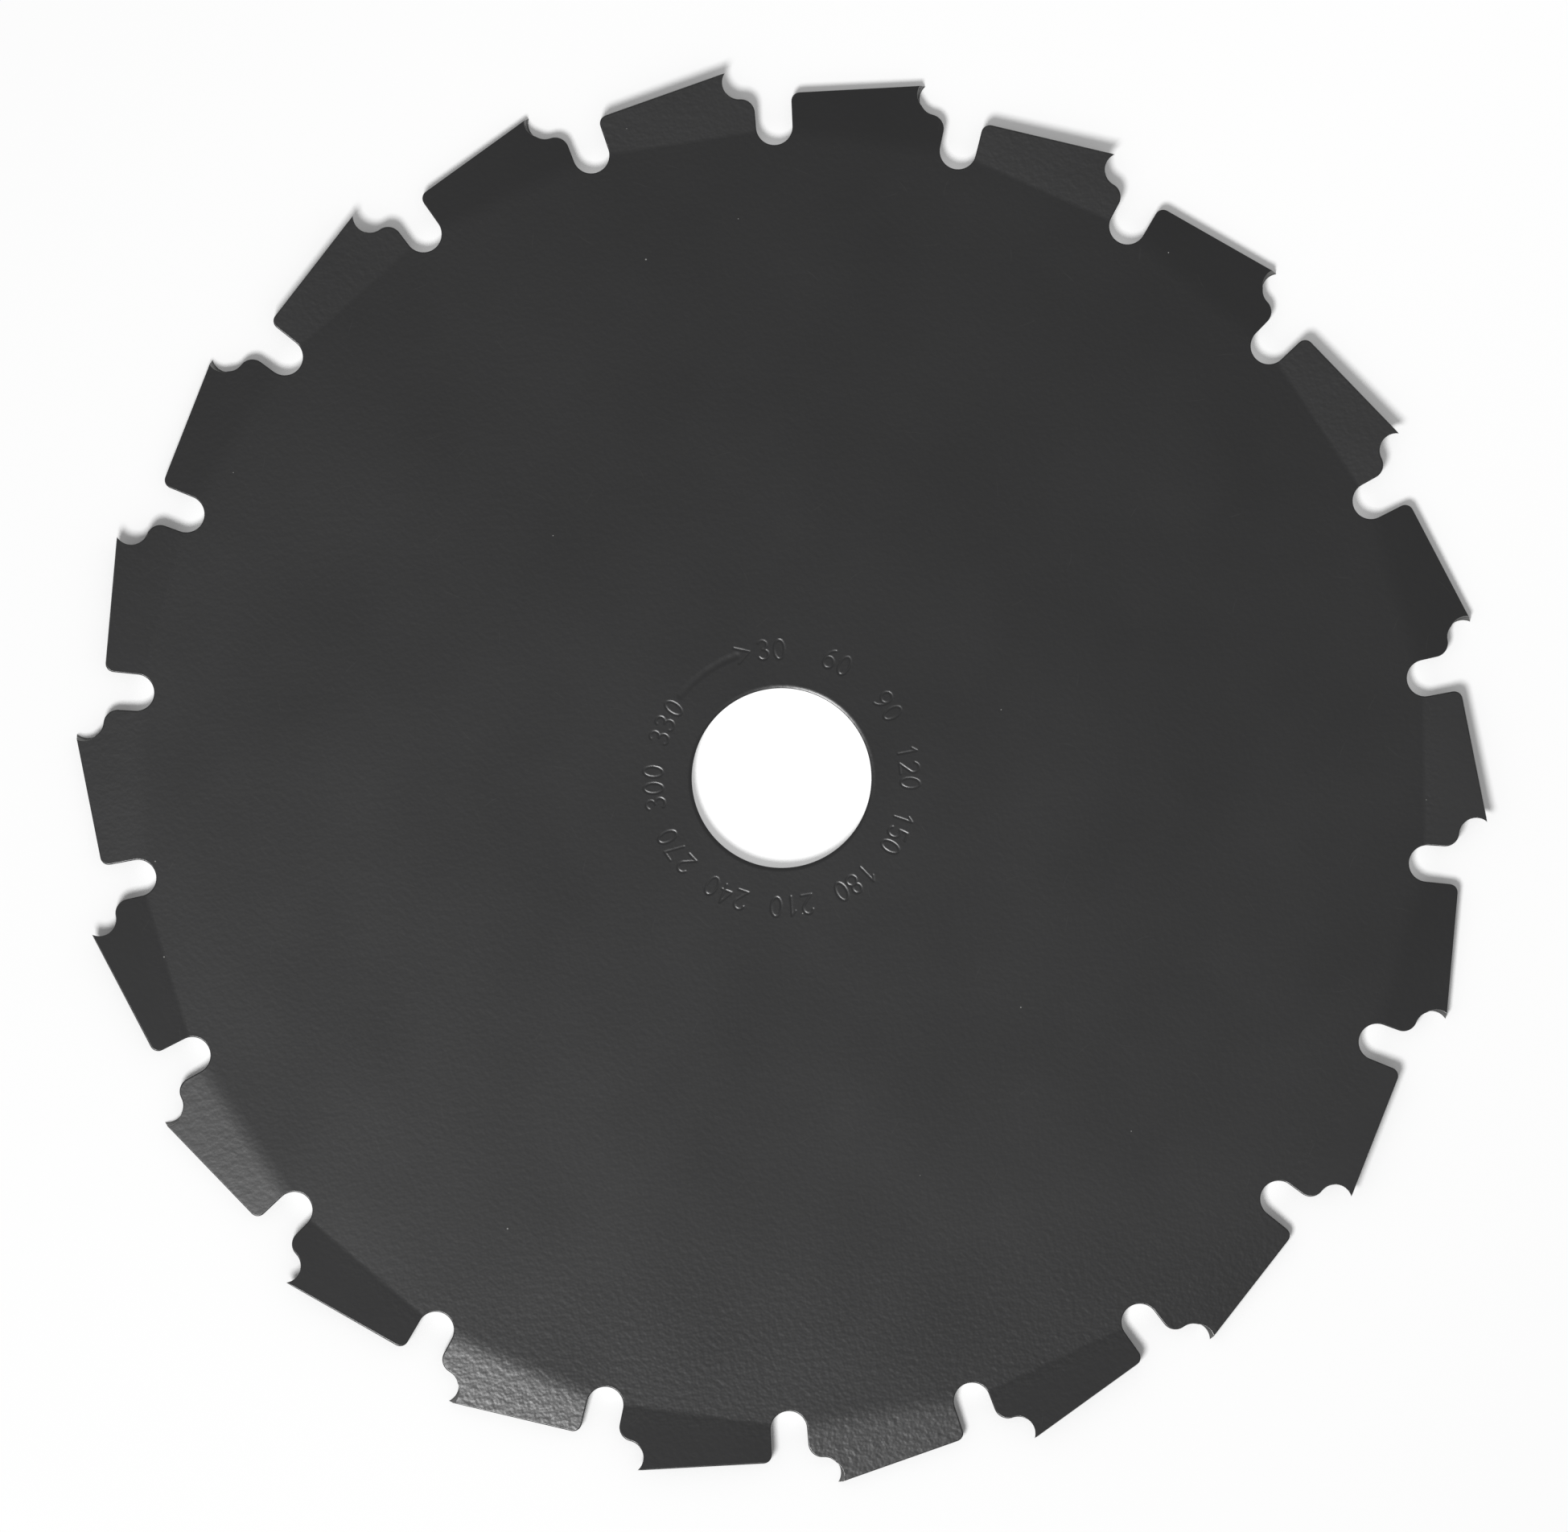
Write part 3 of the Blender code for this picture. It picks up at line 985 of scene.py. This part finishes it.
def scratch_group():
    """Short thin scratches, one to a square at most, each at its own angle and a little bent."""
    inputs = ("Spacing", "Length", "Width", "Share")
    tree, given, output = shader_group("Fine scratches", inputs, "Scratch")
    place = object_place(tree)
    points, chance = scattered(place, given["Spacing"])
    from_middle = vector_calc("SUBTRACT", place, output_of(points, "Position"))
    inputs = {"Vector": from_middle, "Angle": chance[0] * math.tau}
    lying = result(tree, "ShaderNodeVectorRotate", inputs, rotation_type="Z_AXIS")
    x, y, _ = parts_of(lying)
    along = x / given["Length"]
    sideways = along * along * given["Length"] * (chance[1] - 0.5) + y
    thin = smooth_step(calc("ABSOLUTE", sideways), given["Width"], 0.0)
    tapered = smooth_step(calc("ABSOLUTE", along), *SCRATCH_TAPER)
    chosen = calc("LESS_THAN", chance[2], given["Share"])
    set_inputs(output, {0: thin * tapered * chosen})
    return tree


def wear_group():
    """Worn spots along the edges of the plate, where the mesh carries its edge value."""
    tree, given, output = shader_group("Edge wear", ("Patch size", "Share"), "Wear")
    patch = noise(object_place(tree), given["Patch size"], detail=2.0)
    low = 1 - given["Share"]
    worn = smooth_step(patch, low, low + WEAR_BLEND)
    set_inputs(output, {0: worn * attribute(tree, "edge")})
    return tree


def effect(tree, group, values):
    """Places a shared effect in a material with its own values, and gives its output."""
    return result(tree, "ShaderNodeGroup", values, node_tree=group)


def shade(tint, share=1.0):
    """A colour made darker or lighter, with the alpha that a socket asks for."""
    return (*[min(value * share, 1) for value in tint], 1)


def new_material(name):
    """A material, its node tree and its Principled surface."""
    material = bpy.data.materials.new(name)
    material.use_nodes = True
    tree = material.node_tree
    return material, tree, tree.nodes["Principled BSDF"]


def hammered_paint(finish, groups):
    """Dark grey powder coat with a hammered surface, a little dust and fine scratches."""
    material, tree, surface = new_material("hammered grey paint")
    specks = effect(tree, groups["dust"], DUST)
    scratches = effect(tree, groups["scratches"], SCRATCHES)
    wear = effect(tree, groups["wear"], PAINT_WEAR)
    cloud = noise(object_place(tree), CLOUD_SIZE, detail=3.0)
    base = mix_colours(cloud, *[shade(finish.paint, tone) for tone in CLOUD_TONES])
    marked = scratches * SCRATCH_SHOWN + wear * PAINT_WEAR_SHOWN
    base = mix_colours(marked, base, shade(finish.dust))
    base = mix_colours(specks * SPECK_SHOWN, base, shade(finish.dust))
    rougher = (cloud - 0.5) * CLOUD_ROUGHNESS + finish.paint_roughness

    dimples = {
        "Dimple size": finish.hammer_size,
        "Grain size": finish.grain_size,
        "Grain share": PAINT_GRAIN_SHARE,
    }
    height = effect(tree, groups["dimples"], dimples) * coarseness(tree, finish)
    bump = {"Height": height, "Distance": finish.hammer_height}
    inputs = {
        "Base Color": base,
        "Roughness": calc("MAXIMUM", rougher, specks),
        "Specular IOR Level": finish.paint_specular,
        "Normal": result(tree, "ShaderNodeBump", bump),
    }
    set_inputs(surface, inputs)
    return material


def coarseness(tree, finish):
    """How coarse the coat is: most on the teeth, except where it ran smooth or thin."""
    place = object_place(tree)
    _, y, z = parts_of(place)
    near = smooth_step(y, *NEAR_COAT)
    far = smooth_step(y, *FAR_COAT)
    level = smooth_step(calc("ABSOLUTE", z), *LEVEL_COAT)
    masks = (
        (smooth_step(vector_calc("LENGTH", place), *TOOTH_COAT), finish.plate_share),
        (far * finish.far_coat + near, finish.middle_share),
        (calc("MAXIMUM", level, far), finish.raised_share),
    )
    share = 1.0
    for mask, low in masks:
        share = share * (mask * (1 - low) + low)
    return share


def filed_steel(finish, groups):
    """Bare steel of the filed hooks, with file marks that run along the hook."""
    material, tree, surface = new_material("filed steel")
    across = attribute(tree, "tooth") * FILE_MARK_SHIFT + attribute(tree, "across")
    inputs = {"W": across, "Scale": FILE_MARKS, "Detail": 1.0, "Roughness": 0.5}
    stripes = result(tree, "ShaderNodeTexNoise", inputs, noise_dimensions="1D")
    tones = [shade(finish.steel, tone) for tone in FILE_MARK_TONES]
    base = mix_colours(smooth_step(stripes, *FILE_MARK_BLEND), *tones)
    wear = effect(tree, groups["wear"], STEEL_WEAR)
    grain = effect(tree, groups["dimples"], STEEL_GRAIN)
    bump = {"Height": stripes * FILE_MARK_SHARE + grain, "Distance": FILE_MARK_HEIGHT}
    inputs = {
        "Base Color": mix_colours(wear * STEEL_WEAR_SHOWN, base, shade(finish.dust)),
        "Metallic": 1.0,
        "Roughness": (stripes - 0.5) * FILE_MARK_ROUGHNESS + finish.steel_roughness,
        "Specular Tint": (*[finish.steel_rim_share] * 3, 1),
        "Normal": result(tree, "ShaderNodeBump", bump),
    }
    set_inputs(surface, inputs)
    return material


def blade_materials(finish):
    """The two finishes of the blade, with the effects that they share."""
    groups = {
        "dimples": dimpled_group(),
        "dust": dust_group(),
        "scratches": scratch_group(),
        "wear": wear_group(),
    }
    return hammered_paint(finish, groups), filed_steel(finish, groups)


class MESH_OT_steel_blade(Operator):
    """Make the blade: teeth set to alternate sides, a stamped ring, paint and filed hooks"""

    bl_idname = "mesh.steel_blade"
    bl_label = "Steel Blade"
    bl_options = {"REGISTER", "UNDO"}

    def execute(self, context):
        sizes = context.scene.blade_sizes
        marks = context.scene.ring_mark_sizes
        paint, steel = blade_materials(context.scene.blade_finish)
        tooth = punched_tooth(sizes)
        start = tooth.start_angle()
        teeth = grown(
            "tooth ring",
            flat_pitch(sizes, tooth),
            tooth_ring,
            {
                "Middle": (*tooth.middle, 0.0),
                "Bend distance": tooth.bend_distance,
                "Bend angle": tooth.bend,
                "Inner width": sizes.inner_bend_width,
                "Outer width": sizes.outer_bend_width,
                "Thickness": sizes.thickness,
                "Teeth": TOOTH_COUNT,
                "Paint": paint,
                "Filed steel": steel,
            },
        )
        stamped = grown(
            "stamped ring",
            mark_wires(marks),
            stamped_ring,
            {
                "Start angle": start,
                "Inner radius": marks.inner_radius,
                "Outer radius": marks.outer_radius,
                "Height": sizes.thickness / 2,
                "Columns": TOOTH_COUNT * MARK_STEPS,
                "Rows": MARK_ROWS,
                "Stroke reach": marks.stroke_reach,
                "Shaft reach": marks.shaft_reach,
                "Stroke depth": marks.stroke_depth,
                "Paint": paint,
            },
        )
        mesh = welded("steel_blade", [teeth, stamped, disc(sizes, marks, start)])
        blade = new_object("steel_blade", mesh)
        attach(blade, BODY)
        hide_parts(NODE)
        return {"FINISHED"}


# Table, light and camera

def table_material(stage):
    """White table. Its glow evens out the lamp's falloff and is seen, but lights nothing. Within the
    teeth its glow is painted light, which lightens the blade's cast shadows in the gullets and bore.
    """
    material, tree, surface = new_material("white table")
    place = object_place(tree)
    from_lamp = vector_calc("DOT_PRODUCT", place, (*-direction(stage.lamp_azimuth), 0))
    glow = calc("MAXIMUM", from_lamp * stage.falloff + stage.table_glow, 0.0)
    # Painted light: more glow inside the ring of teeth lightens the blade's cast shadows there
    inside = smooth_step(vector_calc("LENGTH", place), *GLOW_EDGE)
    glow = inside * stage.middle_glow + calc("MINIMUM", glow, MOST_GLOW)
    rays = add_node(tree, "ShaderNodeLightPath")
    kinds = ("Is Camera Ray", "Is Glossy Ray", "Is Transmission Ray")
    seen = calc("MINIMUM", sum(output_of(rays, kind) for kind in kinds), 1.0)
    inputs = {
        "Base Color": shade(stage.table),
        "Roughness": TABLE_ROUGHNESS,
        "Specular IOR Level": 0.0,
        "Emission Color": glow * seen,
        "Emission Strength": 1.0,
    }
    set_inputs(surface, inputs)
    return material


def add_table(stage):
    """A wide flat table just under the points of the teeth that are bent down."""
    bm = bmesh.new()
    reach = stage.table_reach
    corners = [(-reach, -reach), (reach, -reach), (reach, reach), (-reach, reach)]
    bm.faces.new([bm.verts.new((*corner, TABLE_HEIGHT)) for corner in corners])
    mesh = mesh_of("white_table", bm)
    mesh.materials.append(table_material(stage))
    new_object("white_table", mesh)


def add_lamp(stage):
    """One round soft lamp that faces the blade from beside the camera."""
    light = bpy.data.lights.new("soft lamp", "AREA")
    light.shape = "DISK"
    light.size = stage.lamp_width
    light.energy = stage.lamp_power
    lamp = new_object("soft lamp", light)
    level = direction(stage.lamp_azimuth) * math.sin(stage.lamp_tilt)
    towards = Vector((*level, math.cos(stage.lamp_tilt)))
    lamp.location = towards * stage.lamp_distance
    lamp.rotation_euler = towards.to_track_quat("Z", "Y").to_euler()
    lamp.visible_camera = False


def add_sky(stage):
    """Even white light from all round."""
    world = bpy.data.worlds.new("studio")
    world.use_nodes = True
    background = world.node_tree.nodes["Background"]
    set_inputs(background, {"Color": (1, 1, 1, 1), "Strength": stage.sky})
    bpy.context.scene.world = world


def add_camera(stage):
    """A long lens straight above the blade, turned as the picture is."""
    data = bpy.data.cameras.new("overhead camera")
    data.sensor_fit = "HORIZONTAL"
    data.lens = stage.lens
    camera = new_object("overhead camera", data)
    camera.location = (stage.camera_right, stage.camera_up, stage.camera_height)
    camera.rotation_euler = (0, 0, stage.camera_roll)
    bpy.context.scene.camera = camera


class SCENE_OT_blade_stage(Operator):
    """Set up the white table, the soft lamp, the sky and the overhead camera"""

    bl_idname = "scene.blade_stage"
    bl_label = "Table, Light and Camera"
    bl_options = {"REGISTER", "UNDO"}

    def execute(self, context):
        stage = context.scene.blade_stage
        add_camera(stage)
        add_table(stage)
        add_lamp(stage)
        add_sky(stage)
        context.scene.view_settings.view_transform = "Standard"
        return {"FINISHED"}


class VIEW3D_PT_blade(Panel):
    """Buttons and settings of the blade and its stage"""

    bl_label = "Brush Cutter Blade"
    bl_space_type = "VIEW_3D"
    bl_region_type = "UI"
    bl_category = "Blade"

    def draw(self, context):
        scene = context.scene
        for operator in (SCENE_OT_blade_stage, MESH_OT_steel_blade):
            self.layout.operator(operator.bl_idname)
        for name in SETTINGS:
            box = self.layout.box()
            group = getattr(scene, name)
            box.label(text=type(group).__name__)
            for field in type(group).__annotations__:
                box.prop(group, field)


SETTINGS = {
    "blade_stage": StageSettings,
    "blade_sizes": BladeSizes,
    "ring_mark_sizes": RingMarkSizes,
    "blade_finish": BladeFinish,
}
CLASSES = (*SETTINGS.values(), SCENE_OT_blade_stage, MESH_OT_steel_blade, VIEW3D_PT_blade)


def register():
    for each in CLASSES:
        bpy.utils.register_class(each)
    for name, group in SETTINGS.items():
        setattr(bpy.types.Scene, name, PointerProperty(type=group))


def unregister():
    for name in SETTINGS:
        delattr(bpy.types.Scene, name)
    for each in reversed(CLASSES):
        bpy.utils.unregister_class(each)


def main():
    """Registers the classes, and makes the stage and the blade."""
    register()
    bpy.ops.scene.blade_stage()
    bpy.ops.mesh.steel_blade()


if __name__ == "__main__":
    main()
